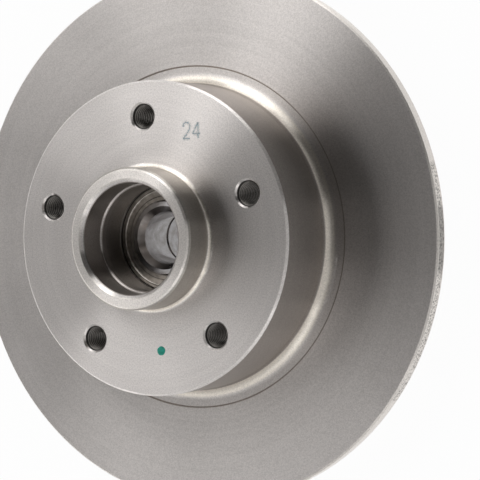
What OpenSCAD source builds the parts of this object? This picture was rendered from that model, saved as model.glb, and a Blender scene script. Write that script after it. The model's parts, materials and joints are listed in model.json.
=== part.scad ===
// Rear brake disc with its own wheel hub, and the double-row wheel bearing in it.
// Millimetres. The origin is the centre of the wheel's seating face, and +Z is the
// rotation axis towards the wheel. Radii and heights are profiled in the X half-plane
// and turned about Z, as the casting is turned on a lathe.

/* [Friction ring] */
// Outer diameter of the friction ring
ring_d = 260; // [250:1:300]
// Thickness of the friction ring when new
ring_t = 8; // [7:0.5:12]
// Depth of the wheel-side friction face below the wheel's seating face
ring_depth = 38; // [34:1:50]
// Chamfer on both edges of the rim
rim_chamfer = 0.8; // [0.4:0.1:1.5]
// Outer diameter of the relief turned round the foot of the hat
relief_d = 166.8; // [164:0.2:172]
// Depth of that relief
relief_depth = 0.45; // [0.3:0.05:1]
// Inner diameter of the friction face on the car side
back_face_d = 168; // [164:1:176]
// Step from the car-side friction face up to the hat's mouth
back_step = 1.2; // [0.6:0.1:2]

/* [Hat and wheel flange] */
// Outer diameter of the hat and the wheel flange
hat_d = 148; // [144:1:150]
// Wall of the hat at its mouth
hat_wall = 6.5; // [5:0.5:8]
// Thickness of the wheel flange
flange_t = 12; // [10:0.5:14]
// Chamfer round the wheel flange
flange_chamfer = 1; // [0.3:0.1:1.5]
// Fillet at the foot of the hat, on the wheel side
hat_foot_r = 6; // [4:0.5:7]
// Cast fillets inside the hat
cast_r = 5; // [3:0.5:6]
// Draft of the cast walls, in degrees
draft = 1.5; // [1:0.5:3]

/* [Wheel bolts] */
// Number of threaded holes
bolt_count = 5; // [4:1:6]
// Diameter of the bolt circle
bolt_pcd = 114.3; // [108:0.1:118]
// Nominal thread diameter of the wheel bolts
bolt_d = 12; // [10:1:14]
// Diameter of the countersink at each hole's mouth
countersink_d = 13.6; // [12.4:0.2:16]
// Angle of the first hole from +X, in degrees
bolt_phase = 20.8; // [0:0.1:72]
// Depth of the threads, through the cast bosses behind the flange
bolt_depth = 21; // [18:0.5:24]
// Diameter of those bosses where they leave the flange
bolt_boss_d = 19; // [17.5:0.5:19]
// Width of the rib that joins each boss to the hat's wall
bolt_rib_w = 12; // [10:1:14]

/* [Spigot and bore] */
// Diameter of the spigot that centres the wheel
spigot_d = 66; // [64:0.5:72]
// Height of the spigot above the seating face
spigot_h = 17.3; // [12:0.1:20]
// Chamfer on the spigot's outer edge
spigot_chamfer = 1.5; // [0.4:0.1:2]
// Fillet at the spigot's foot
spigot_foot_r = 2.5; // [1:0.5:4]
// Bore that the dust cap is pressed into
cap_bore_d = 52; // [51:0.5:53]
// Depth of the dust cap's bore from the spigot's end
cap_bore_h = 14.4; // [10:0.1:16]
// Sloped ledge under the dust cap
cap_ledge = 1; // [0.6:0.1:1.4]
// Chamfer at the mouth of the dust cap's bore
cap_chamfer = 1.9; // [0.4:0.1:2.4]

/* [Hub boss] */
// Depth of the bearing's wheel-side face below the seating face
bearing_depth = 13.2; // [12:0.2:16]
// Wall of the machined boss round the bearing
boss_wall = 7; // [6:0.5:8]
// How far the cast boss stands out past the machined nose
boss_step = 1.5; // [1:0.25:3]
// Length of the machined nose at the end of the boss
nose_l = 12; // [11:0.5:16]
// Length of boss past the bearing's car-side face
boss_lip = 4.3; // [3.8:0.1:6]
// Chamfer on the nose
nose_chamfer = 0.8; // [0.4:0.1:1.2]

/* [Bearing] */
// Outer diameter of the bearing
bearing_od = 55; // [54:0.5:56]
// Bore of the inner rings
bearing_bore = 25; // [24:0.5:26]
// Width over the rings
bearing_w = 45; // [44:0.5:48]
// Ball diameter
ball_d = 9.5; // [9:0.1:9.7]
// Balls in each row
ball_count = 12; // [8:1:12]
// Distance between the two rows
row_spacing = 21; // [19:0.5:23]
// Contact angle of the rows, in degrees
contact_angle = 35; // [25:1:40]
// Groove radius as a multiple of the ball's radius
conformity = 1.04; // [1.03:0.01:1.06]
// Running clearance between a ball and its grooves
ball_play = 0.03; // [0.02:0.01:0.06]
// Height of the outer ring's middle land above the groove's floor
land_h = 2.2; // [1.4:0.1:2.6]
// Lip that the balls snap over on the outer ring
snap_h = 0.2; // [0.1:0.05:0.3]
// Wall of the outer ring at its seal seats
seal_seat_wall = 2.5; // [2.3:0.1:2.6]
// Thickness of the inner rings at their outer ends
inner_rim_t = 5.5; // [5:0.1:5.8]
// Thickness of the inner rings where they meet
inner_joint_t = 3.4; // [3.1:0.1:3.8]
// Lead-in cone of the bore at both ends, measured along the axis and the radius
lead_in = 2.6; // [1.5:0.1:2.8]
// Chamfer of the bore where the inner rings meet
joint_chamfer = 0.9; // [0.4:0.1:1.2]
// Corner chamfer on the outside of the outer ring
ring_corner = 0.8; // [0.4:0.1:1]

/* [Ball cages] */
// Radial thickness of a cage
cage_t = 3.4; // [2.6:0.1:3.6]
// Thickness of the closed side behind the pockets
cage_side = 1.4; // [1:0.1:2]
// How far the fingers reach past the middle of the balls
cage_finger = 2.6; // [1.5:0.1:3]
// Clearance between a ball and its pocket
pocket_play = 0.12; // [0.08:0.02:0.16]

/* [Seals] */
// Depth of the seal case below the bearing's face
seal_recess = 1.4; // [1:0.1:2]
// Sheet thickness of the seal's steel parts
sheet_t = 0.7; // [0.5:0.05:0.8]
// Length of the case's rim in its seat
case_h = 3.4; // [3:0.1:3.6]
// Radius of the bead rolled into the case
bead_r = 0.55; // [0.4:0.05:0.7]
// Radial distance from the case's rim in to the middle of the bead
bead_inset = 2.1; // [1.8:0.1:2.4]
// Width of the open gap between case and flinger
seal_gap = 0.3; // [0.25:0.05:0.5]
// Width of the flinger's visible collar
collar_w = 1.8; // [1.5:0.1:2]
// Clearance between the rubber lips and the flinger
lip_play = 0.15; // [0.1:0.05:0.25]

/* [Retaining ring] */
// Thickness of the retaining ring
clip_t = 2; // [1.5:0.1:2.2]
// Depth of its groove in the boss
clip_groove = 1.5; // [1.2:0.1:2]
// Width of the ring opposite its gap
clip_w = 5; // [4:0.1:5.5]
// Width of the ring beside its gap
clip_w_end = 3.4; // [3:0.1:3.8]
// Angle that its gap takes up, in degrees
clip_gap_angle = 26; // [22:1:40]
// Radius of its lugs
lug_r = 2.6; // [2.2:0.1:2.8]
// Diameter of the plier holes in the lugs
lug_hole_d = 2.5; // [2:0.1:3]

/* [Encoder ring] */
// Outer diameter of the encoder's flange
encoder_d = 86; // [82:0.5:90]
// Sheet thickness of its steel carrier
carrier_t = 1; // [0.8:0.1:1.2]
// Length of the carrier's sleeve on the nose
sleeve_h = 8; // [6:0.5:9]
// Thickness of the magnetised rubber
magnet_t = 1.2; // [0.8:0.1:1.3]
// Radial width of the magnetised rubber
magnet_w = 6; // [4:0.5:6.5]

/* [Hidden] */

$fn = 128;
eps = 0.01;
press_play = 0.01;       // drawn clearance of pressed pieces, which stay separate solids
clip_play = 0.1;         // clearance of the retaining ring in its groove
relief_ramp = 0.6;       // slope at the relief's outer edge
mouth_chamfer = 1.5;     // chamfer at the hat's mouth
boss_root = 1;           // how far a bolt boss and its rib reach into the flange
rib_root = 2.5;          // how far the rib reaches into the hat's wall
bolt_boss_edge = 1;      // chamfer round the end of a bolt boss
shoulder_edge = 0.5;     // broken edge of the shoulder that the bearing stands against
ring_edge = 0.4;         // broken edge of the counterbore in the outer ring
rim_edge = 0.8;          // corner of an inner ring's face
seat_clear = 0.4;        // room below a seal case in its counterbore
lip_t = 0.5;             // thickness of a seal lip
seat_lead = 0.5;         // lead chamfer at the mouth of the bearing's seat
floor_clear = 0.8;       // how far the encoder stays back from the boss's end
bead_step = 15;          // degrees between points on the bead's arc
cage_shift = 0.2;        // how far a cage's middle sits inside the ball circle
flinger_over = 0.2;      // length of the flinger's sleeve past the case's rim
web_t = 1.1;             // rubber web behind the seal case
web_rim_t = 1.6;         // the same web at the case's rim
lip_root = 0.6;          // from the case's inner edge out to the root of the lips
sleeve_lip_l = 2.6;      // how deep the lip on the flinger's sleeve reaches
tip_slope = 0.2;         // slope across the tip of a lip
collar_play = 0.25;      // clearance of the other lip behind the flinger's collar
lug_inset = 0.3;         // how far a lug's centre stands in from the ring's narrow end
rubber_clear = 0.4;      // least distance from the encoder's rubber to the nose

ring_r = ring_d / 2;
hat_r = hat_d / 2;
hat_in_r = hat_r - hat_wall;
spigot_r = spigot_d / 2;
cap_r = cap_bore_d / 2;
nut_r = cap_r - cap_ledge;
face_z = -ring_depth;
relief_z = face_z - relief_depth;
back_z = face_z - ring_t;
mouth_z = back_z + back_step;

brg_top = -bearing_depth;
brg_mid = brg_top - bearing_w / 2;
brg_end = brg_top - bearing_w;
seat_r = bearing_od / 2;
bore_r = bearing_bore / 2;
nose_r = seat_r + boss_wall;
boss_end = brg_end - boss_lip;
nose_top = boss_end + nose_l;
groove_r = seat_r + clip_groove;
groove_end = brg_end - clip_t - clip_play;

// Drafted cast walls: their radius at the flange, up from the mouth and from the nose
hat_top_r = hat_in_r + (mouth_z + mouth_chamfer + flange_t) * tan(draft);
boss_top_r = nose_r + boss_step - (nose_top + boss_step + flange_t) * tan(draft);

ball_r = ball_d / 2;
pitch_r = (seat_r + bore_r) / 2;
groove_rad = conformity * (ball_r + ball_play);
groove_shift = groove_rad - ball_r - ball_play;
outer_floor_r = pitch_r + ball_r + ball_play;
inner_floor_r = pitch_r - ball_r - ball_play;
land_r = outer_floor_r - land_h;
snap_r = outer_floor_r - snap_h;
seal_seat_r = seat_r - seal_seat_wall;
rim_r = bore_r + inner_rim_t;
joint_r = bore_r + inner_joint_t;

seal_seat_h = seal_recess + case_h + seat_clear;
case_r = seal_seat_r - press_play;
collar_r = rim_r + collar_w;
case_in_r = collar_r + seal_gap;
bead_mid_r = case_r - bead_inset;

cage_in_r = pitch_r - cage_t / 2 - cage_shift;
cage_out_r = cage_in_r + cage_t;

// Point on a circle in the profile's plane
function polar(centre, radius, angle) = centre + radius * [cos(angle), sin(angle)];
// Unit vector of v
function unit(v) = v / norm(v);

// A fillet is [corner, direction back along the outline, direction onwards, radius], with
// unit directions. Its corner gives way to the two tangent points with the circle's centre
// between them, and the circle is cut out afterwards.
function half_angle(f) = acos(f[1] * f[2]) / 2;
function centre_of(f) = f[0] + unit(f[1] + f[2]) * f[3] / sin(half_angle(f));
function filleted(f) = let (reach = f[3] / tan(half_angle(f)))
    [f[0] + f[1] * reach, centre_of(f), f[0] + f[2] * reach];

// Turned outline of the casting: up the bore and over the spigot, out along the flange, down
// the hat, round the friction ring, up inside the hat and down the boss to the bearing's seat
module disc_profile() {
    spigot_foot = [[spigot_r, 0], [0, 1], [1, 0], spigot_foot_r];
    hat_foot = [[hat_r, relief_z], [0, 1], [1, 0], hat_foot_r];
    hat_top = [[hat_top_r, -flange_t], [sin(draft), -cos(draft)], [-1, 0], cast_r];
    boss_top = [[boss_top_r, -flange_t], [1, 0], [-sin(draft), -cos(draft)], cast_r];
    difference() {
        polygon(concat(
            [[nut_r + shoulder_edge, brg_top],
             [nut_r, brg_top + shoulder_edge],
             [nut_r, spigot_h - cap_bore_h - cap_ledge],
             [cap_r, spigot_h - cap_bore_h],
             [cap_r, spigot_h - cap_chamfer],
             [cap_r + cap_chamfer, spigot_h],
             [spigot_r - spigot_chamfer, spigot_h],
             [spigot_r, spigot_h - spigot_chamfer]],
            filleted(spigot_foot),
            [[hat_r - flange_chamfer, 0],
             [hat_r, -flange_chamfer]],
            filleted(hat_foot),
            [[relief_d / 2 - relief_ramp, relief_z],
             [relief_d / 2, face_z],
             [ring_r - rim_chamfer, face_z],
             [ring_r, face_z - rim_chamfer],
             [ring_r, back_z + rim_chamfer],
             [ring_r - rim_chamfer, back_z],
             [back_face_d / 2, back_z],
             [back_face_d / 2 - back_step, mouth_z],
             [hat_in_r + mouth_chamfer, mouth_z],
             [hat_in_r, mouth_z + mouth_chamfer]],
            filleted(hat_top),
            filleted(boss_top),
            [[nose_r + boss_step, nose_top + boss_step],
             [nose_r, nose_top],
             [nose_r, boss_end + nose_chamfer],
             [nose_r - nose_chamfer, boss_end],
             [seat_r + seat_lead, boss_end],
             [seat_r, boss_end + seat_lead],
             [seat_r, groove_end],
             [groove_r, groove_end],
             [groove_r, brg_end],
             [seat_r, brg_end],
             [seat_r, brg_top]]));
        for (f = [spigot_foot, hat_foot, hat_top, boss_top]) translate(centre_of(f)) circle(r = f[3]);
    }
}

// Threaded hole at its nominal diameter, countersunk at both mouths
module bolt_hole() {
    sink = (countersink_d - bolt_d) / 2;
    translate([0, 0, -bolt_depth - eps]) cylinder(d = bolt_d, h = bolt_depth + 2 * eps);
    translate([0, 0, -sink]) cylinder(d1 = bolt_d, d2 = countersink_d + 2 * eps, h = sink + eps);
    translate([0, 0, -bolt_depth - eps]) cylinder(d1 = countersink_d + 2 * eps, d2 = bolt_d, h = sink + eps);
}

// Cast boss behind the flange, which gives a bolt its length of thread: a drafted stub with
// a broken edge, and a rib from it to the hat's wall
module bolt_boss() {
    root_z = boss_root - flange_t;
    tip_z = bolt_boss_edge - bolt_depth;
    rib_z = tip_z + bolt_boss_edge;
    root_r = bolt_boss_d / 2;
    tip_r = root_r - (root_z - tip_z) * tan(draft);
    rotate_extrude() polygon([
        [0, -bolt_depth],
        [tip_r - bolt_boss_edge, -bolt_depth],
        [tip_r, tip_z],
        [root_r, root_z],
        [0, root_z],
    ]);
    translate([0, -bolt_rib_w / 2, rib_z])
        cube([hat_in_r + rib_root - bolt_pcd / 2, bolt_rib_w, root_z - rib_z]);
}

// The places of the wheel bolts
module at_bolts() {
    for (i = [0:bolt_count - 1])
        rotate(bolt_phase + i * 360 / bolt_count) translate([bolt_pcd / 2, 0]) children();
}

// Friction ring, hat, flange, spigot and hub boss: one casting, turned and drilled
module disc() {
    color("#b4b1ad") difference() {
        union() {
            rotate_extrude() disc_profile();
            at_bolts() bolt_boss();
        }
        at_bolts() bolt_hole();
    }
}

// A row of the bearing is drawn for the wheel side with its ball circle at height 0 and
// the bearing's middle below it. The car side is the same row turned over.
module place_row(side) {
    translate([0, 0, brg_mid]) mirror([0, 0, side < 0 ? 1 : 0]) translate([0, 0, row_spacing / 2])
        children();
}
row_top = bearing_w / 2 - row_spacing / 2;      // from the ball circle up to the bearing's face
row_joint = -row_spacing / 2;                   // and down to where the inner rings meet

// Groove circle of a ring: sign 1 for the outer ring, -1 for the inner one
module groove(sign) {
    contact = [cos(contact_angle), -sin(contact_angle)];
    translate([pitch_r, 0] - sign * groove_shift * contact) circle(r = groove_rad);
}

// Outer ring: two raceways, a middle land, and a counterbore for a seal at each end
module outer_ring_half() {
    difference() {
        polygon([
            [land_r, row_joint], [land_r, 0], [snap_r, 0],
            [snap_r, row_top - seal_seat_h], [seal_seat_r, row_top - seal_seat_h],
            [seal_seat_r, row_top - ring_edge], [seal_seat_r + ring_edge, row_top],
            [seat_r - press_play - ring_corner, row_top],
            [seat_r - press_play, row_top - ring_corner],
            [seat_r - press_play, row_joint]]);
        groove(1);
    }
}

module outer_ring() {
    color("#8d8f92") union() {
        place_row(1) rotate_extrude() outer_ring_half();
        place_row(-1) rotate_extrude() outer_ring_half();
    }
}

// Inner ring: high shoulder and wide lead-in cone at the outer end, low shoulder at the joint
module inner_ring(side) {
    low_z = -groove_rad / 2;
    color("#a9abad") place_row(side) rotate_extrude() difference() {
        polygon([
            [bore_r + joint_chamfer, row_joint], [joint_r, row_joint],
            [joint_r, low_z], [rim_r, low_z],
            [rim_r, row_top - rim_edge], [rim_r - rim_edge, row_top],
            [bore_r + lead_in, row_top], [bore_r, row_top - lead_in],
            [bore_r, row_joint + joint_chamfer]]);
        groove(-1);
    }
}

module ball(side, index) {
    color("#c9cbcd") place_row(side)
        rotate(bolt_phase + (index - 1) * 360 / ball_count) translate([pitch_r, 0]) sphere(r = ball_r);
}

// Crown cage: a ring with a round pocket for each ball, open towards the seal
module cage(side) {
    pocket_r = ball_r + pocket_play;
    color("#2b2b2d") place_row(side) difference() {
        rotate_extrude()
            translate([cage_in_r, -pocket_r - cage_side])
                square([cage_out_r - cage_in_r, pocket_r + cage_side + cage_finger]);
        for (i = [0:ball_count - 1])
            rotate(bolt_phase + i * 360 / ball_count) translate([pitch_r, 0]) sphere(r = pocket_r);
    }
}

// Steel case of a seal: rim in the counterbore, beaded face, open at the inner edge
module seal_case(side) {
    top = row_top - seal_recess;
    color("#8a857c") place_row(side) rotate_extrude() polygon(concat(
        [[case_in_r, top]],
        [for (angle = [180:-bead_step:0]) polar([bead_mid_r, top], bead_r, angle)],
        [[case_r - sheet_t / 2, top], [case_r, top - sheet_t / 2],
         [case_r, top - case_h], [case_r - sheet_t, top - case_h],
         [case_r - sheet_t, top - sheet_t], [case_in_r, top - sheet_t]]));
}

// Rubber bonded behind the case, with one lip to the flinger's sleeve and one behind its collar
module seal_lip(side) {
    top = row_top - seal_recess - sheet_t;
    sleeve_r = rim_r + press_play + sheet_t;
    tip_r = sleeve_r + lip_play;
    root_r = case_in_r + lip_root;
    color("#1d1d1e") place_row(side) rotate_extrude() polygon([
        [case_r - sheet_t, top], [case_r - sheet_t, top - web_rim_t],
        [root_r + web_t, top - web_t], [tip_r + lip_t, top - sleeve_lip_l],
        [tip_r, top - sleeve_lip_l + tip_slope], [root_r, top - web_t + tip_slope],
        [tip_r + tip_slope, top - collar_play - lip_t], [tip_r + 2 * tip_slope, top - collar_play],
        [root_r - tip_slope, top]]);
}

// Flinger: sleeve pressed on the inner ring's shoulder, with a collar that closes the seal
module flinger(side) {
    top = row_top - seal_recess;
    sleeve_h = case_h + flinger_over;
    color("#77756f") place_row(side) rotate_extrude() polygon([
        [rim_r + press_play, top], [collar_r, top], [collar_r, top - sheet_t],
        [rim_r + press_play + sheet_t, top - sheet_t],
        [rim_r + press_play + sheet_t, top - sleeve_h], [rim_r + press_play, top - sleeve_h]]);
}

// Internal retaining ring: an eccentric inner edge, lugs with plier holes at its gap
module circlip() {
    outer_r = groove_r - clip_play;
    inner_r = outer_r - (clip_w + clip_w_end) / 2;
    shift = (clip_w - clip_w_end) / 2;
    lug_at = outer_r - clip_w_end - lug_inset;
    lug_angle = clip_gap_angle / 2 + asin(lug_r / lug_at);
    color("#2f3134") translate([0, 0, brg_end - clip_t]) rotate(bolt_phase) linear_extrude(clip_t)
        difference() {
            union() {
                difference() {
                    circle(r = outer_r);
                    translate([shift, 0]) circle(r = inner_r);
                    polygon([[0, 0], polar([0, 0], 2 * outer_r, -clip_gap_angle / 2),
                             polar([0, 0], 2 * outer_r, clip_gap_angle / 2)]);
                }
                for (s = [-1, 1]) translate(polar([0, 0], lug_at, s * lug_angle)) circle(r = lug_r);
            }
            for (s = [-1, 1]) translate(polar([0, 0], lug_at, s * lug_angle)) circle(d = lug_hole_d);
        }
}

// Encoder: an angle ring pressed on the nose, with its flange facing the car
encoder_z = boss_end + floor_clear + magnet_t;
carrier_in_r = nose_r + press_play;

module encoder_carrier() {
    color("#9a9b9c") rotate_extrude() polygon([
        [carrier_in_r, encoder_z], [encoder_d / 2, encoder_z],
        [encoder_d / 2, encoder_z + carrier_t], [carrier_in_r + carrier_t, encoder_z + carrier_t],
        [carrier_in_r + carrier_t, encoder_z + sleeve_h], [carrier_in_r, encoder_z + sleeve_h]]);
}

// Magnetised rubber, in the middle of the carrier's flange and clear of the nose
module encoder_magnet() {
    edge = max(rubber_clear, (encoder_d / 2 - carrier_in_r - magnet_w) / 2);
    color("#26241f") translate([0, 0, encoder_z - magnet_t]) rotate_extrude()
        translate([carrier_in_r + edge, 0]) square([magnet_w, magnet_t]);
}

disc();
outer_ring();
inner_ring(1);  // inner_ring_outboard
inner_ring(-1);  // inner_ring_inboard
cage(1);  // cage_outboard
cage(-1);  // cage_inboard
seal_case(1);  // seal_case_outboard
seal_case(-1);  // seal_case_inboard
seal_lip(1);  // seal_lip_outboard
seal_lip(-1);  // seal_lip_inboard
flinger(1);  // flinger_outboard
flinger(-1);  // flinger_inboard
circlip();
encoder_carrier();
encoder_magnet();
for (i = [1:ball_count]) ball(1, i);
for (i = [1:ball_count]) ball(-1, i);
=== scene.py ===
# Rear brake disc with its hub and wheel bearing: finishes, threads, marks, light and camera.
# Metres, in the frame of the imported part. The wheel's seating face is z = 0 and the axis is Z.
import json
import math

import bpy
import numpy as np
from mathutils import Matrix, Vector


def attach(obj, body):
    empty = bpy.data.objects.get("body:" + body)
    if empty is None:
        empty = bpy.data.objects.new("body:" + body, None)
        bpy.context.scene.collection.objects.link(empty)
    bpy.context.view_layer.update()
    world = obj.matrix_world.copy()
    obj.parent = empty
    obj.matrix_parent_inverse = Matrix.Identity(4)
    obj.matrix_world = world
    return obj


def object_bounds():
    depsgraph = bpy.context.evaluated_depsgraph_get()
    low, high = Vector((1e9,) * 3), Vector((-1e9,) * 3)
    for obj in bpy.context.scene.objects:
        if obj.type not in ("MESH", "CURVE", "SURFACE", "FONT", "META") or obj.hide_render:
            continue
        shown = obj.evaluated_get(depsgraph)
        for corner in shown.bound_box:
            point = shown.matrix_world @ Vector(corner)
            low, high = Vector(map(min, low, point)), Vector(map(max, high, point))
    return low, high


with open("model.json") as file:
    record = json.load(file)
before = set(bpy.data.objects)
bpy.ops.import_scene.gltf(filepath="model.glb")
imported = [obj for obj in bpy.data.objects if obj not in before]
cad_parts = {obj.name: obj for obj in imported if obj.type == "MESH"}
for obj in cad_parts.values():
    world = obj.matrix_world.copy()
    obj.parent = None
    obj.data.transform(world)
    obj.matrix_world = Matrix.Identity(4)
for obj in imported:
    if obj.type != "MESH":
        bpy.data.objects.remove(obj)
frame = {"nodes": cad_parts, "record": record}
nodes = frame["nodes"]
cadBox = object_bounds()
mm = 0.001
print("frame loaded:", len(nodes), "nodes")

scene = bpy.context.scene
scene.view_settings.view_transform = "Standard"

# Camera: where it stands, the point it looks at, its roll and its lens
cameraView = {
    "place": (0.4232, 0.0116, 0.6456),
    "target": (0.0494, -0.0008, 0.0002),
    "roll": -0.55,           # degrees, about the line of sight
    "lens": 123.6,
    "sensor": 36.0,
    "near": 0.05,
    "far": 20,
}


def makeCamera(view):
    # columns of the turn: right, up and back, with +Y of the part upwards in the picture
    back = (Vector(view["place"]) - Vector(view["target"])).normalized()
    right = Vector((0, 1, 0)).cross(back).normalized()
    up = back.cross(right)
    turn = Matrix((right, up, back)).transposed()
    lens = bpy.data.cameras.new("camera")
    lens.lens = view["lens"]
    lens.sensor_width = view["sensor"]
    lens.clip_start = view["near"]
    lens.clip_end = view["far"]
    piece = bpy.data.objects.new("camera", lens)
    roll = Matrix.Rotation(math.radians(view["roll"]), 3, "Z")
    piece.matrix_world = Matrix.Translation(view["place"]) @ (turn @ roll).to_4x4()
    scene.collection.objects.link(piece)
    scene.camera = piece


makeCamera(cameraView)
print("camera set")

# Soft studio light: each box hangs in a direction seen from the hub and faces it.
# Azimuth is counted from +X towards +Y, elevation from the floor, both in degrees. Wide and tall
# are in metres, and a glow of 1 is white.
softBoxes = {
    "top_low": {"azimuth": 90, "elevation": 10, "wide": 0.75, "tall": 0.56, "glow": 1.5},
    "top_middle": {"azimuth": 90, "elevation": 30, "wide": 1.27, "tall": 0.56, "glow": 1.75},
    "top_left": {"azimuth": 129, "elevation": 30, "wide": 0.63, "tall": 0.56, "glow": 2.75},
    "top_high": {"azimuth": 108, "elevation": 50, "wide": 0.67, "tall": 0.56, "glow": 3.25},
    "left_low": {"azimuth": 202, "elevation": 10, "wide": 1.9, "tall": 0.56, "glow": 1.08},
    "left_middle": {"azimuth": 154, "elevation": 30, "wide": 0.63, "tall": 0.56, "glow": 1.3},
    "left_end": {"azimuth": 193, "elevation": 30, "wide": 1.27, "tall": 0.56, "glow": 0.78},
    "left_high": {"azimuth": 162, "elevation": 50, "wide": 1.3, "tall": 0.56, "glow": 0.9},
    "front_low": {"azimuth": 231, "elevation": 30, "wide": 0.63, "tall": 0.56, "glow": 1.65},
    "front_middle": {"azimuth": 270, "elevation": 30, "wide": 1.27, "tall": 0.56, "glow": 0.85},
    "front_right": {"azimuth": 306, "elevation": 30, "wide": 0.65, "tall": 0.56, "glow": 1.25},
    "front_high": {"azimuth": 265, "elevation": 50, "wide": 1.45, "tall": 0.56, "glow": 1.25},
    "over_front": {"azimuth": 240, "elevation": 70, "wide": 0.63, "tall": 0.56, "glow": 0.25},
    "right_middle": {"azimuth": 346, "elevation": 25, "wide": 1.9, "tall": 1.0, "glow": 0.47},
    "right_high": {"azimuth": 322, "elevation": 50, "wide": 0.7, "tall": 0.56, "glow": 0.7},
}
boxReach = 1.6               # metres from the hub
room = {
    "light": 0.03,           # strength of the room's own light
    "backdrop": 1.0,         # of the pale backdrop that stands round the floor
    "top": 7.0,              # degrees over the floor that the backdrop reaches
    "soft": 2.0,             # degrees above and below that over which it fades
}
floorLook = {
    "half": 3.0,             # half of its width
    "colour": (0.92, 0.92, 0.92, 1),
    "lift": 0.965,           # share of plain white, the rest shows the part's shadow
    "under": 0.2,            # painted shadow under the part: what is left of that share under its middle
    "underReach": 0.13,      # radius at which it is whole again
    "core": 0.3,             # painted shadow, darker still: what is left of it at the very middle
    "coreStart": 0.002,      # radii between which that comes back
    "coreReach": 0.009,
}


def hangBox(name, box):
    azimuth = math.radians(box["azimuth"])
    elevation = math.radians(box["elevation"])
    away = Vector((math.cos(azimuth) * math.cos(elevation), math.sin(azimuth) * math.cos(elevation),
                   math.sin(elevation)))
    lamp = bpy.data.lights.new(name, "AREA")
    lamp.shape = "RECTANGLE"
    lamp.size = box["wide"]
    lamp.size_y = box["tall"]
    lamp.energy = box["glow"] * math.pi * box["wide"] * box["tall"]
    piece = bpy.data.objects.new(name, lamp)
    piece.location = away * boxReach
    piece.rotation_mode = "QUATERNION"
    piece.rotation_quaternion = away.to_track_quat("Z", "Y")
    piece.visible_camera = False
    scene.collection.objects.link(piece)


def setInputs(tree, node, inputs):
    # each input is either linked (a socket) or set (a value)
    for key, value in inputs.items():
        if isinstance(value, bpy.types.NodeSocket):
            tree.links.new(value, node.inputs[key])
        else:
            node.inputs[key].default_value = value


def addNode(tree, kind, inputs=None, **settings):
    made = tree.nodes.new("ShaderNode" + kind)
    for name, value in settings.items():
        setattr(made, name, value)
    setInputs(tree, made, inputs or {})
    return made


def maths(tree, operation, first, second=0.0, third=0.0):
    made = addNode(tree, "Math", {0: first, 1: second, 2: third}, operation=operation)
    return made.outputs[0]


def band(tree, value, low, high, soft):
    # 1 between low and high, 0 outside, with an edge that is soft either way
    rise = addNode(tree, "MapRange", {0: value, 1: low - soft, 2: low + soft})
    fall = addNode(tree, "MapRange", {0: value, 1: high - soft, 2: high + soft, 3: 1.0, 4: 0.0})
    return maths(tree, "MULTIPLY", rise.outputs[0], fall.outputs[0])


def levels(tree, value, low, high, fromLow=0.0, fromHigh=1.0):
    # low at fromLow and high at fromHigh, held beyond them
    return addNode(tree, "MapRange", {0: value, 1: fromLow, 2: fromHigh, 3: low, 4: high}).outputs[0]


def seenRay(tree):
    # 1 for rays of the camera, of reflections and of refraction, 0 for light on surfaces
    path = addNode(tree, "LightPath")
    glossy = maths(tree, "MAXIMUM", path.outputs["Is Camera Ray"], path.outputs["Is Glossy Ray"])
    return maths(tree, "MAXIMUM", glossy, path.outputs["Is Transmission Ray"])


def makeRoom(look):
    world = bpy.data.worlds.new("room")
    scene.world = world
    world.use_nodes = True
    tree = world.node_tree
    tree.nodes.clear()
    direction = addNode(tree, "TexCoord").outputs["Generated"]
    height = addNode(tree, "SeparateXYZ", {0: direction}).outputs["Z"]
    low = math.sin(math.radians(look["top"] - look["soft"]))
    high = math.sin(math.radians(look["top"] + look["soft"]))
    strength = levels(tree, height, look["backdrop"], look["light"], low, high)
    soft = addNode(tree, "Background", {"Color": (1, 1, 1, 1), "Strength": strength})
    addNode(tree, "OutputWorld", {"Surface": soft.outputs[0]})


def makeFloor(look, height):
    half = look["half"]
    mesh = bpy.data.meshes.new("floor")
    corners = [(-half, -half, height), (half, -half, height), (half, half, height), (-half, half, height)]
    mesh.from_pydata(corners, [], [(0, 1, 2, 3)])
    material = bpy.data.materials.new("floor_paper")
    material.use_nodes = True
    tree = material.node_tree
    tree.nodes.clear()
    paper = addNode(tree, "BsdfDiffuse", {"Color": look["colour"]})
    white = addNode(tree, "Emission", {"Color": (1, 1, 1, 1), "Strength": 1.0})
    place = addNode(tree, "TexCoord").outputs["Object"]
    radius = addNode(tree, "VectorMath", {0: place}, operation="LENGTH").outputs["Value"]
    # painted shadow: the white share falls away under the part, darkest at its middle
    clear = addNode(tree, "MapRange", {0: radius, 1: 0.0, 2: look["underReach"], 3: look["under"], 4: 1.0},
                    interpolation_type="SMOOTHSTEP")
    core = levels(tree, radius, look["core"], 1.0, look["coreStart"], look["coreReach"])
    share = maths(tree, "MULTIPLY", seenRay(tree), look["lift"])
    share = maths(tree, "MULTIPLY", share, clear.outputs[0])
    share = maths(tree, "MULTIPLY", share, core)
    mix = addNode(tree, "MixShader", {0: share, 1: paper.outputs[0], 2: white.outputs[0]})
    addNode(tree, "OutputMaterial", {"Surface": mix.outputs[0]})
    mesh.materials.append(material)
    piece = bpy.data.objects.new("floor", mesh)
    scene.collection.objects.link(piece)


for boxName, box in softBoxes.items():
    hangBox(boxName, box)
makeRoom(room)
makeFloor(floorLook, cadBox[0].z)
print("light and floor set")

# What every finish shares
heightWeight = 1.6           # what a height counts beside a radius in the length along a profile
noiseRange = (0.3, 0.7)      # where most of a noise's values lie
stainRange = (0.35, 0.65)    # noise at which a stain sets in and is full
quarterTurn = 0.25           # from the tool marks to the direction that the shine is drawn out in


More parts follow.
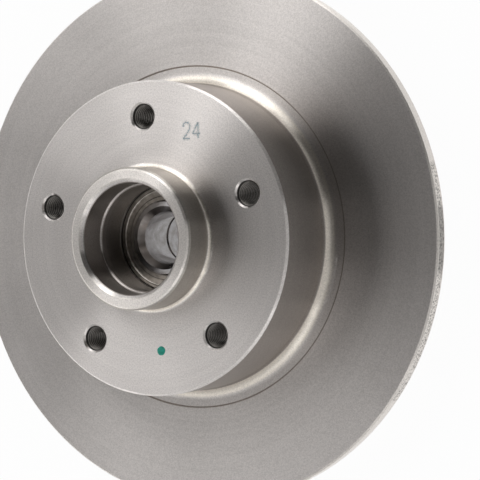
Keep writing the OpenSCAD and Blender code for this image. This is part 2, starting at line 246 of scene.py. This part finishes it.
def turnedPlaces(tree):
    # the radius, the direction round the axis, the height and the length along a profile, which is
    # the radius plus weighted height, and so grows across a face, a cylinder and a chamfer
    place = addNode(tree, "TexCoord").outputs["Object"]
    flat = addNode(tree, "VectorMath", {0: place, 1: (1, 1, 0)}, operation="MULTIPLY")
    radius = addNode(tree, "VectorMath", {0: flat.outputs[0]}, operation="LENGTH").outputs["Value"]
    outward = addNode(tree, "VectorMath", {0: flat.outputs[0]}, operation="NORMALIZE").outputs[0]
    height = addNode(tree, "SeparateXYZ", {0: place}).outputs["Z"]
    along = maths(tree, "MULTIPLY_ADD", height, heightWeight, radius)
    return {"place": place, "radius": radius, "outward": outward, "height": height, "along": along}


def turnedNoise(tree, places, pitch, arcs, detail=3.0):
    # noise that changes every pitch metres across the tool marks and arcs times round the axis
    spread = addNode(tree, "VectorMath", {0: places["outward"], 1: (arcs, arcs, 0)},
                     operation="MULTIPLY")
    parts = addNode(tree, "SeparateXYZ", {0: spread.outputs[0]})
    across = maths(tree, "DIVIDE", places["along"], pitch)
    vector = addNode(tree, "CombineXYZ", {0: parts.outputs[0], 1: parts.outputs[1], 2: across})
    made = addNode(tree, "TexNoise", {"Vector": vector.outputs[0], "Scale": 1.0, "Detail": detail,
                                      "Roughness": 0.6})
    return made.outputs["Fac"]


def grainNoise(tree, places, size, detail=2.0, rough=0.5):
    # noise the same in every direction, with grains of that size in metres
    made = addNode(tree, "TexNoise", {"Vector": places["place"], "Scale": 1 / size, "Detail": detail,
                                      "Roughness": rough})
    return made.outputs["Fac"]


def angleRound(tree, places):
    # angle round the axis from +X, in radians
    parts = addNode(tree, "SeparateXYZ", {0: places["place"]})
    return maths(tree, "ARCTAN2", parts.outputs[1], parts.outputs[0])


def blendColour(tree, share, first, second, mode="MIX"):
    made = addNode(tree, "Mix", {0: share, 6: first, 7: second}, data_type="RGBA", blend_type=mode)
    return made.outputs[2]


def blendValue(tree, share, first, second):
    made = addNode(tree, "Mix", {0: share, 2: first, 3: second}, data_type="FLOAT")
    return made.outputs[0]


def newFinish(name):
    material = bpy.data.materials.new("finish_" + name)
    material.use_nodes = True
    tree = material.node_tree
    tree.nodes.clear()
    shader = addNode(tree, "BsdfPrincipled")
    addNode(tree, "OutputMaterial", {"Surface": shader.outputs[0]})
    return material, tree, shader


def addBump(tree, shader, height, distance, strength):
    bump = addNode(tree, "Bump", {"Height": height, "Distance": distance, "Strength": strength})
    setInputs(tree, shader, {"Normal": bump.outputs[0]})


def drawShine(tree, shader, places, stretch):
    # shine drawn out across the tool marks, which run round the axis
    cross = addNode(tree, "VectorMath", {0: (0, 0, 1), 1: places["outward"]}, operation="CROSS_PRODUCT")
    turned = addNode(tree, "VectorTransform", {0: cross.outputs[0]}, vector_type="VECTOR",
                     convert_from="OBJECT", convert_to="WORLD")
    setInputs(tree, shader, {"Anisotropic": stretch, "Anisotropic Rotation": quarterTurn,
                             "Tangent": turned.outputs[0]})


# The threaded holes in the flange
boltHoles = {
    "circle": 57.15 * mm,    # radius of the bolt circle
    "first": 20.8,           # angle of the first hole from +X, in degrees
    "count": 5,
}
# Turned iron: the casting's machined faces, and the sand-cast skin inside the hat
iron = {
    "bright": (0.765, 0.725, 0.7, 1),
    "dull": (0.565, 0.532, 0.512, 1),
    "faceRoughness": 0.37,   # on the faced surfaces
    "roundRoughness": 0.31,  # on walls, chamfers and fillets
    "faces": (0.0173, 0.0, -0.038, -0.03845, -0.046),
    "faceDepth": 0.0002,     # how far above and below its height a face still counts as faced
    "faceSoft": 0.0001,
    "stretch": 0.94,         # how far the shine is drawn out across the tool marks
    "marks": 0.0009,         # spacing of the tool marks, and how often they change in a turn
    "marksArcs": 0.5,
    "feed": 0.004,           # the same for the broader bands that the feed left
    "feedArcs": 0.8,
    "grain": 0.00075,
    "fineGrain": 0.0004,
    "cloud": 0.03,
    "markShare": 0.1,        # what each noise adds to the tone between dull and bright
    "grainShare": 0.45,
    "fineShare": 0.35,
    "feedShare": 0.1,
    "toneRange": (0.37, 0.63),
    "grainRoughness": 0.01,  # how far the grain and the cloud move the roughness either way
    "cloudRoughness": 0.02,
    "castColour": (0.17, 0.162, 0.155, 1),
    "castRoughness": 0.72,
    "castMetal": 0.55,
    "castGrain": 0.0016,
    "castDepth": 0.00025,    # height of the cast skin's grain
    "castRise": 0.6,
    "castInner": 0.0356,     # the cast skin lies between these radii and heights
    "castOuter": 0.0683,
    "castLow": -0.0506,
    "castHigh": -0.0115,
    "castSoft": 0.0003,
    "boltClear": 0.0072,     # and this far from a bolt hole's axis, since the holes are drilled
    "zoneSoft": 0.0002,
    # painted light and shade: surfaces made lighter or darker to stand in for how the light falls on them,
    # with the bores and the corner by the relief darkened as painted shade; inner and outer radius, low
    # and high, and the tone they get
    "paintedLightZones": {
        "flange": (0.0, 0.075, -0.0012, 0.0176, (1.17, 1.17, 1.17, 1)),
        "spigot wall": (0.0322, 0.0334, 0.0013, 0.0166, (0.54, 0.53, 0.5, 1)),
        "spigot foot": (0.0334, 0.0356, 0.0002, 0.0016, (1.2, 1.17, 1.08, 1)),
        "spigot face": (0.0255, 0.0335, 0.0166, 0.0176, (1.13, 1.13, 1.11, 1)),
        "hat wall": (0.0732, 0.0747, -0.0355, -0.0013, (0.57, 0.55, 0.53, 1)),
        "hat foot": (0.0747, 0.0797, -0.0382, -0.0305, (1.28, 1.26, 1.17, 1)),
        "relief edge": (0.0828, 0.0835, -0.0388, -0.0377, (0.55, 0.52, 0.49, 1)),
        "rim": (0.1291, 0.1305, -0.0462, -0.0381, (1.15, 1.15, 1.12, 1)),
        "cap bore": (0.0257, 0.0264, 0.0024, 0.0158, (0.43, 0.41, 0.39, 1)),
        "nut bore": (0.0245, 0.02545, -0.0135, 0.00235, (0.38, 0.36, 0.34, 1)),
    },
}
# Etched band on the rim, made of small broken dots, with a stretch round +X that is darker still
etchedBand = {
    "inner": 0.1294,         # radius outside which it lies
    "low": -0.0446,
    "high": -0.0392,
    "heightSoft": 0.0002,
    "first": -0.62,          # angles from +X, in radians
    "last": 0.26,
    "angleSoft": 0.01,
    "size": 0.0009,          # of the dots, and the noise at which one begins and is full
    "dotRange": (0.5, 0.57),
    "tone": 0.4,
    "darkStretchFirst": -0.125,
    "darkStretchLast": 0.11,
    "darkStretchSoft": 0.02,
    "darkStretchTone": 0.5,
}


def boltDistance(tree, places, holes):
    # distance from the axis of the nearest hole, the angle folded to one hole's share of a turn
    angle = maths(tree, "SUBTRACT", angleRound(tree, places), math.radians(holes["first"]))
    angle = maths(tree, "WRAP", angle, math.pi / holes["count"], -math.pi / holes["count"])
    ahead = maths(tree, "MULTIPLY", places["radius"], maths(tree, "COSINE", angle))
    aside = maths(tree, "MULTIPLY", places["radius"], maths(tree, "SINE", angle))
    gap = addNode(tree, "CombineXYZ", {0: maths(tree, "SUBTRACT", ahead, holes["circle"]), 1: aside})
    return addNode(tree, "VectorMath", {0: gap.outputs[0]}, operation="LENGTH").outputs["Value"]


def etchedMarks(tree, places, look):
    # 1 on bare metal, less on the dots and on the darker stretch
    angle = angleRound(tree, places)
    tall = band(tree, places["height"], look["low"], look["high"], look["heightSoft"])
    area = maths(tree, "MULTIPLY", tall, band(tree, angle, look["first"], look["last"], look["angleSoft"]))
    area = maths(tree, "MULTIPLY", area, maths(tree, "GREATER_THAN", places["radius"], look["inner"]))
    dots = grainNoise(tree, places, look["size"], detail=1.0)
    dark = levels(tree, dots, 1.0, look["tone"], *look["dotRange"])
    stretch = band(tree, angle, look["darkStretchFirst"], look["darkStretchLast"], look["darkStretchSoft"])
    darkStretch = levels(tree, stretch, 1.0, look["darkStretchTone"])
    return blendValue(tree, area, 1.0, maths(tree, "MULTIPLY", dark, darkStretch))


def castSkin(tree, places, look):
    # 1 on the skin that was left as cast, 0 where a tool has cut
    wide = band(tree, places["radius"], look["castInner"], look["castOuter"], look["zoneSoft"])
    tall = band(tree, places["height"], look["castLow"], look["castHigh"], look["castSoft"])
    skin = maths(tree, "MULTIPLY", wide, tall)
    away = boltDistance(tree, places, boltHoles)
    return maths(tree, "MULTIPLY", skin, maths(tree, "GREATER_THAN", away, look["boltClear"]))


def ironFinish(look):
    material, tree, shader = newFinish("cast_iron_turned")
    places = turnedPlaces(tree)
    marks = turnedNoise(tree, places, look["marks"], look["marksArcs"], detail=2.0)
    feed = turnedNoise(tree, places, look["feed"], look["feedArcs"], detail=2.0)
    grain = grainNoise(tree, places, look["grain"])
    fine = grainNoise(tree, places, look["fineGrain"], detail=1.0)
    cloud = grainNoise(tree, places, look["cloud"])
    sand = grainNoise(tree, places, look["castGrain"], detail=5.0, rough=0.62)
    cast = castSkin(tree, places, look)
    tone = maths(tree, "MULTIPLY", marks, look["markShare"])
    for noise, share in ((grain, "grainShare"), (fine, "fineShare"), (feed, "feedShare")):
        tone = maths(tree, "ADD", tone, maths(tree, "MULTIPLY", noise, look[share]))
    shade = levels(tree, tone, 0.0, 1.0, *look["toneRange"])
    metal = blendColour(tree, shade, look["dull"], look["bright"])
    # painted light and shade: each zone's tone multiplies the metal's colour, lighter on lit faces and
    # fillets, darker on walls, bores and the relief's corner
    for inner, outer, low, high, paintedLightTone in look["paintedLightZones"].values():
        paintedLightZone = maths(tree, "MULTIPLY", band(tree, places["radius"], inner, outer, look["zoneSoft"]),
                     band(tree, places["height"], low, high, look["zoneSoft"]))
        metal = blendColour(tree, paintedLightZone, metal, paintedLightTone, mode="MULTIPLY")
    metal = addNode(tree, "VectorMath", {0: metal, "Scale": etchedMarks(tree, places, etchedBand)},
                    operation="SCALE").outputs[0]
    faced = 0.0
    for level in look["faces"]:
        near = band(tree, places["height"], level - look["faceDepth"], level + look["faceDepth"],
                    look["faceSoft"])
        faced = maths(tree, "MAXIMUM", near, faced)
    rough = blendValue(tree, faced, look["roundRoughness"], look["faceRoughness"])
    for noise, reach in ((grain, look["grainRoughness"]), (cloud, look["cloudRoughness"])):
        rough = maths(tree, "ADD", rough, levels(tree, noise, -reach, reach, *noiseRange))
    setInputs(tree, shader, {
        "Base Color": blendColour(tree, cast, metal, look["castColour"]),
        "Roughness": blendValue(tree, cast, rough, look["castRoughness"]),
        "Metallic": levels(tree, cast, 1.0, look["castMetal"]),
    })
    addBump(tree, shader, maths(tree, "MULTIPLY", sand, cast), look["castDepth"], look["castRise"])
    drawShine(tree, shader, places, look["stretch"])
    return material


def metalFinish(name, look):
    # ground or pressed steel: marks round the axis over a plain metal
    material, tree, shader = newFinish(name)
    places = turnedPlaces(tree)
    marks = turnedNoise(tree, places, look["marks"], arcs=3.0)
    cloud = grainNoise(tree, places, look["cloud"], detail=3.0)
    stained = levels(tree, cloud, 0.0, 1.0, *stainRange)
    setInputs(tree, shader, {
        "Base Color": blendColour(tree, stained, look["colour"], look["stain"]),
        "Roughness": levels(tree, marks, look["roughness"] - look["spread"],
                            look["roughness"] + look["spread"], *noiseRange),
        "Metallic": 1.0,
    })
    addBump(tree, shader, marks, look["depth"], strength=0.5)
    drawShine(tree, shader, places, look["stretch"])
    return material


def threadFinish(look):
    # cut thread: darkened in its grooves as painted shade, bare on its crests
    material, tree, shader = newFinish("cut_thread")
    places = turnedPlaces(tree)
    away = boltDistance(tree, places, boltHoles)
    depth = levels(tree, away, 0.0, 1.0, look["crestAt"], look["grooveAt"])
    grain = grainNoise(tree, places, look["grain"], detail=3.0)
    bare = blendColour(tree, grain, look["bare"], look["bareWorn"])
    setInputs(tree, shader, {
        "Base Color": blendColour(tree, depth, bare, look["groove"]),
        "Roughness": levels(tree, depth, look["bareRoughness"], look["grooveRoughness"]),
        "Metallic": levels(tree, depth, 1.0, look["grooveMetal"]),
    })
    return material


def softFinish(name, look):
    # rubber and moulded plastic: a dull skin with fine grain
    material, tree, shader = newFinish(name)
    places = turnedPlaces(tree)
    grain = grainNoise(tree, places, look["grain"], detail=3.0)
    cloud = grainNoise(tree, places, look["cloud"])
    bloomed = levels(tree, cloud, 0.0, 1.0, *noiseRange)
    setInputs(tree, shader, {
        "Base Color": blendColour(tree, bloomed, look["colour"], look["bloom"]),
        "Roughness": levels(tree, grain, look["roughness"] - look["spread"],
                            look["roughness"] + look["spread"], *noiseRange),
    })
    addBump(tree, shader, grain, look["depth"], strength=0.6)
    return material


# Spread is how far the roughness strays, and marks, cloud, grain and depth are in metres
steelLooks = {
    "bearing_steel": {
        "colour": (0.52, 0.51, 0.515, 1), "stain": (0.38, 0.36, 0.35, 1), "roughness": 0.17,
        "spread": 0.04, "stretch": 0.9, "marks": 0.0004, "cloud": 0.004, "depth": 0.000001},
    # painted shade: the outer ring's colour is made dark to stand for the shade in the gap behind the
    # hub's shoulder
    "outer_ring": {
        "colour": (0.16, 0.15, 0.14, 1), "stain": (0.11, 0.1, 0.09, 1), "roughness": 0.34,
        "spread": 0.04, "stretch": 0.6, "marks": 0.0003, "cloud": 0.004, "depth": 0.000002},
    "ball_steel": {
        "colour": (0.78, 0.78, 0.79, 1), "stain": (0.72, 0.72, 0.73, 1), "roughness": 0.07,
        "spread": 0.02, "stretch": 0.0, "marks": 0.0002, "cloud": 0.002, "depth": 0.000001},
    "seal_sheet": {
        "colour": (0.7, 0.665, 0.62, 1), "stain": (0.48, 0.45, 0.41, 1), "roughness": 0.32,
        "spread": 0.05, "stretch": 0.3, "marks": 0.0004, "cloud": 0.003, "depth": 0.000002},
    "spring_steel": {
        "colour": (0.1, 0.105, 0.115, 1), "stain": (0.07, 0.072, 0.078, 1), "roughness": 0.42,
        "spread": 0.08, "stretch": 0.2, "marks": 0.0003, "cloud": 0.003, "depth": 0.000008},
    "carrier_sheet": {
        "colour": (0.62, 0.62, 0.63, 1), "stain": (0.52, 0.52, 0.53, 1), "roughness": 0.34,
        "spread": 0.08, "stretch": 0.3, "marks": 0.0003, "cloud": 0.005, "depth": 0.000008},
}
threadLook = {
    "crestAt": 0.00525,      # distances from the hole's axis
    "grooveAt": 0.0056,
    "bare": (0.56, 0.53, 0.5, 1),
    "bareWorn": (0.2, 0.185, 0.165, 1),
    # painted shade: the grooves' colour darkened to stand for the shade in them
    "groove": (0.025, 0.022, 0.019, 1),
    "bareRoughness": 0.32,
    "grooveRoughness": 0.6,
    "grooveMetal": 0.3,
    "grain": 0.0006,
}
softLooks = {
    "cage_plastic": {
        "colour": (0.035, 0.035, 0.038, 1), "bloom": (0.05, 0.05, 0.053, 1), "roughness": 0.5,
        "spread": 0.08, "grain": 0.0004, "cloud": 0.006, "depth": 0.00001},
    "seal_rubber": {
        "colour": (0.02, 0.02, 0.021, 1), "bloom": (0.032, 0.031, 0.031, 1), "roughness": 0.62,
        "spread": 0.08, "grain": 0.0003, "cloud": 0.005, "depth": 0.00001},
    "magnet_rubber": {
        "colour": (0.03, 0.028, 0.026, 1), "bloom": (0.045, 0.042, 0.04, 1), "roughness": 0.55,
        "spread": 0.08, "grain": 0.0004, "cloud": 0.006, "depth": 0.00001},
}
finishes = {"cast_iron_turned": ironFinish(iron)}
finishes.update({name: metalFinish(name, look) for name, look in steelLooks.items()})
finishes.update({name: softFinish(name, look) for name, look in softLooks.items()})
finishes["cut_thread"] = threadFinish(threadLook)

# A node with a finish of its own name gets that one, and any other gets its slot's finish
for part in frame["record"]["subparts"]:
    finish = finishes.get(part["node"], finishes[part["material_slot"]])
    for materialSlot in nodes[part["node"]].material_slots:
        materialSlot.material = finish
print("finishes given to", len(nodes), "nodes")


def gridFaces(rows, columns, closed=True):
    # quads of a grid of points, wrapped round its columns if closed
    across = np.arange(columns if closed else columns - 1)
    upper = np.arange(rows - 1)[:, None] * columns
    first = upper + across
    second = upper + (across + 1) % columns
    return np.stack([first, second, second + columns, first + columns], -1).reshape(-1, 4)


def addPiece(name, points, faces, material):
    mesh = bpy.data.meshes.new(name)
    mesh.from_pydata(points.tolist(), [], faces.tolist())
    mesh.polygons.foreach_set("use_smooth", np.ones(len(faces), bool))
    mesh.materials.append(material)
    mesh.update()
    piece = bpy.data.objects.new(name, mesh)
    scene.collection.objects.link(piece)
    return piece


# Threads in the wheel bolt holes, an M12 x 1.5 thread as a sleeve inside each drilled hole
thread = {
    "root": 5.93 * mm,       # radii of the thread's groove and crest
    "crest": 5.19 * mm,
    "back": 6.04 * mm,       # outside of the sleeve, in the iron
    "pitch": 1.5 * mm,
    "rootFlat": 0.125,       # shares of the pitch that lie flat
    "crestFlat": 0.25,
    "top": -0.8 * mm,
    "bottom": -20.2 * mm,
    "mouth": 6.8 * mm,       # radius of the countersink at the flange's face
    "perPitch": 14,          # rows of points in a pitch, and points in a turn
    "round": 64,
}


def threadSleeve(spec, holes, index):
    # radius over angle and height: a trapezoid that climbs one pitch a turn, and is cut by the
    # countersink's cone
    rows = int(spec["perPitch"] * (spec["top"] - spec["bottom"]) / spec["pitch"])
    turn = np.linspace(0, 2 * np.pi, spec["round"], endpoint=False)[None, :]
    height = np.linspace(spec["bottom"], spec["top"], rows)[:, None]
    phase = (height / spec["pitch"] - turn / (2 * np.pi)) % 1
    flank = (1 - spec["rootFlat"] - spec["crestFlat"]) / 2
    ramp = np.clip((np.abs(phase - 0.5) - spec["rootFlat"] / 2) / flank, 0, 1)
    radius = spec["root"] + (spec["crest"] - spec["root"]) * ramp
    radius = np.maximum(radius, spec["mouth"] + height)
    inner = np.stack([radius * np.cos(turn), radius * np.sin(turn), height + 0 * turn], -1)
    outer = inner.copy()
    outer[..., 0] = spec["back"] * np.cos(turn)
    outer[..., 1] = spec["back"] * np.sin(turn)
    points = np.concatenate([inner, outer[::-1]]).reshape(-1, 3)
    faces = gridFaces(2 * rows, spec["round"])
    last = (2 * rows - 1) * spec["round"]
    across = np.arange(spec["round"])
    closing = np.stack([last + across, last + (across + 1) % spec["round"],
                        (across + 1) % spec["round"], across], -1)
    angle = math.radians(holes["first"] + index * 360 / holes["count"])
    points = points + [holes["circle"] * math.cos(angle), holes["circle"] * math.sin(angle), 0]
    return points, np.concatenate([faces, closing])[:, ::-1]


for index in range(boltHoles["count"]):
    points, faces = threadSleeve(thread, boltHoles, index)
    sleeve = addPiece(f"bolt_thread_{index + 1}", points, faces, finishes["cut_thread"])
    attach(sleeve, "disc")
print("threads cut")

# Inspection marks on the flange face: a dab of paint, and a plain number in thin ink
paintDot = {
    "middle": (6.3 * mm, -52.5 * mm),
    "radius": 2.2 * mm,
    "thick": 0.08 * mm,
    "wobble": 0.035,         # how uneven its edge is, as a share of the radius
    "waves": (2, 5),         # waves of that edge in a turn, and where the first one starts
    "start": 0.6,
    "second": 0.6,           # height of the second wave beside the first
    "middleHole": 0.002,     # share of the radius where its rings of points begin
    "rings": 10,
    "spokes": 48,
    "colour": (0.02, 0.42, 0.31, 1),
    "thinTone": 0.6,         # tone where it is thin, and the noise between which it thickens
    "thinRange": (0.35, 0.7),
    "grain": 0.0012,
    "roughness": 0.35,
    "depth": 0.00004,
}
inkNumber = {
    "figures": "24",
    "middle": (24.0 * mm, 49.6 * mm),
    "tall": 7.4 * mm,
    "wide": 4.1 * mm,
    "apart": 5.4 * mm,
    "stroke": 0.45 * mm,
    "over": 0.02 * mm,       # height over the face
    "overStain": 0.01 * mm,  # of the ink over its stain, and of a stroke over the one before
    "overStroke": 0.001 * mm,
    "colour": (0.33, 0.47, 0.53, 1),
    "worn": 0.48,            # noise at which half of the ink is left
    "fade": 0.15,            # how far either side of that it reaches its least and its most
    "leastInk": 0.1,
    "mostInk": 0.9,
    "thickTone": 0.8,        # tone where the ink is thickest
    "grain": 0.0009,
    "roughness": 0.6,
    "bleed": 1.7 * mm,       # width of the pale stain that the ink left round each stroke
    "bleedColour": (0.6, 0.78, 0.84, 1),
    "bleedWorn": 0.68,
}
# strokes of the digits on a box one wide and one tall, as points that a smooth line passes
digitStrokes = {
    "2": [[(0.04, 0.74), (0.16, 0.93), (0.5, 1.0), (0.84, 0.93), (0.95, 0.73), (0.82, 0.5), (0.4, 0.2),
           (0.05, 0.0)], [(0.05, 0.0), (0.97, 0.0)]],
    "4": [[(0.72, 0.0), (0.72, 1.0)], [(0.72, 1.0), (0.0, 0.3)], [(0.0, 0.3), (1.0, 0.3)]],
}


def darker(colour, share):
    return tuple(share * value for value in colour[:3]) + (1,)


def paintFinish(name, look):
    material, tree, shader = newFinish(name)
    places = turnedPlaces(tree)
    cloud = grainNoise(tree, places, look["grain"], detail=3.0)
    thick = levels(tree, cloud, 0.0, 1.0, *look["thinRange"])
    thin = darker(look["colour"], look["thinTone"])
    setInputs(tree, shader, {"Base Color": blendColour(tree, thick, thin, look["colour"]),
                             "Roughness": look["roughness"]})
    addBump(tree, shader, cloud, look["depth"], strength=0.5)
    return material


def inkFinish(name, look, colour, worn):
    # dull ink that lets the metal through where it has worn
    material, tree, shader = newFinish(name)
    places = turnedPlaces(tree)
    wear = grainNoise(tree, places, look["grain"], detail=4.0, rough=0.65)
    setInputs(tree, shader, {
        "Base Color": blendColour(tree, wear, colour, darker(colour, look["thickTone"])),
        "Roughness": look["roughness"],
        "Alpha": levels(tree, wear, look["leastInk"], look["mostInk"], worn - look["fade"],
                        worn + look["fade"]),
    })
    return material


def paintDab(spec):
    # height over radius and angle: thick * (1 - r^4), on an edge that wanders with two waves
    share = np.linspace(0, 1, spec["rings"])[:, None]
    turn = np.linspace(0, 2 * np.pi, spec["spokes"], endpoint=False)[None, :]
    slow, quick = spec["waves"]
    wander = np.sin(slow * turn + spec["start"]) + spec["second"] * np.sin(quick * turn)
    edge = spec["radius"] * (1 + spec["wobble"] * wander)
    radius = np.maximum(share, spec["middleHole"]) * edge
    height = spec["thick"] * (1 - share ** 4) + 0 * turn
    points = np.stack([spec["middle"][0] + radius * np.cos(turn),
                       spec["middle"][1] + radius * np.sin(turn), height], -1)
    return points.reshape(-1, 3), gridFaces(spec["rings"], spec["spokes"])


def smoothLine(corners, steps=10):
    # Catmull-Rom curve through the points, its ends repeated
    held = np.array([corners[0]] + corners + [corners[-1]], float)[:, None, :]
    before, first, second, after = held[:-3], held[1:-2], held[2:-1], held[3:]
    t = np.linspace(0, 1, steps, endpoint=False)[None, :, None]
    curve = 0.5 * (2 * first + (second - before) * t
                   + (2 * before - 5 * first + 4 * second - after) * t ** 2
                   + (3 * first - before - 3 * second + after) * t ** 3)
    return np.concatenate([curve.reshape(-1, 2), held[-1]])


def inkRibbon(corners, origin, spec, width, lift):
    # a flat ribbon of that width along the line
    line = smoothLine(corners) * (spec["wide"], spec["tall"]) + origin
    ahead = np.gradient(line, axis=0)
    ahead /= np.linalg.norm(ahead, axis=1, keepdims=True)
    side = np.stack([-ahead[:, 1], ahead[:, 0]], -1) * width / 2
    flat = np.stack([line + side, line - side], 1)
    height = np.full(flat.shape[:2] + (1,), spec["over"] + lift)
    points = np.concatenate([flat, height], -1).reshape(-1, 3)
    return points, gridFaces(len(line), 2, closed=False)[:, ::-1]


def addDigit(name, strokes, origin, spec, width, lift, material):
    # the ribbons of one digit as one piece
    ribbons = [inkRibbon(corners, origin, spec, width, lift + spec["overStroke"] * order)
               for order, corners in enumerate(strokes)]
    points = [ribbon[0] for ribbon in ribbons]
    starts = np.cumsum([0] + [len(part) for part in points[:-1]])
    faces = [ribbon[1] + start for ribbon, start in zip(ribbons, starts)]
    figure = addPiece(name, np.concatenate(points), np.concatenate(faces), material)
    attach(figure, "disc")


dabPoints, dabFaces = paintDab(paintDot)
dab = addPiece("paint_dot", dabPoints, dabFaces, paintFinish("paint_teal", paintDot))
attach(dab, "disc")
inkLook = inkFinish("ink_grey", inkNumber, inkNumber["colour"], inkNumber["worn"])
bleedLook = inkFinish("ink_bleed", inkNumber, inkNumber["bleedColour"], inkNumber["bleedWorn"])
numberLeft = inkNumber["middle"][0] - (inkNumber["apart"] + inkNumber["wide"]) / 2
numberLow = inkNumber["middle"][1] - inkNumber["tall"] / 2
for place, digit in enumerate(inkNumber["figures"]):
    origin = np.array([numberLeft + place * inkNumber["apart"], numberLow])
    strokes = digitStrokes[digit]
    addDigit(f"ink_bleed_{place + 1}", strokes, origin, inkNumber, inkNumber["bleed"], 0.0, bleedLook)
    addDigit(f"ink_digit_{place + 1}", strokes, origin, inkNumber, inkNumber["stroke"],
             inkNumber["overStain"], inkLook)
print("paint and ink laid on")
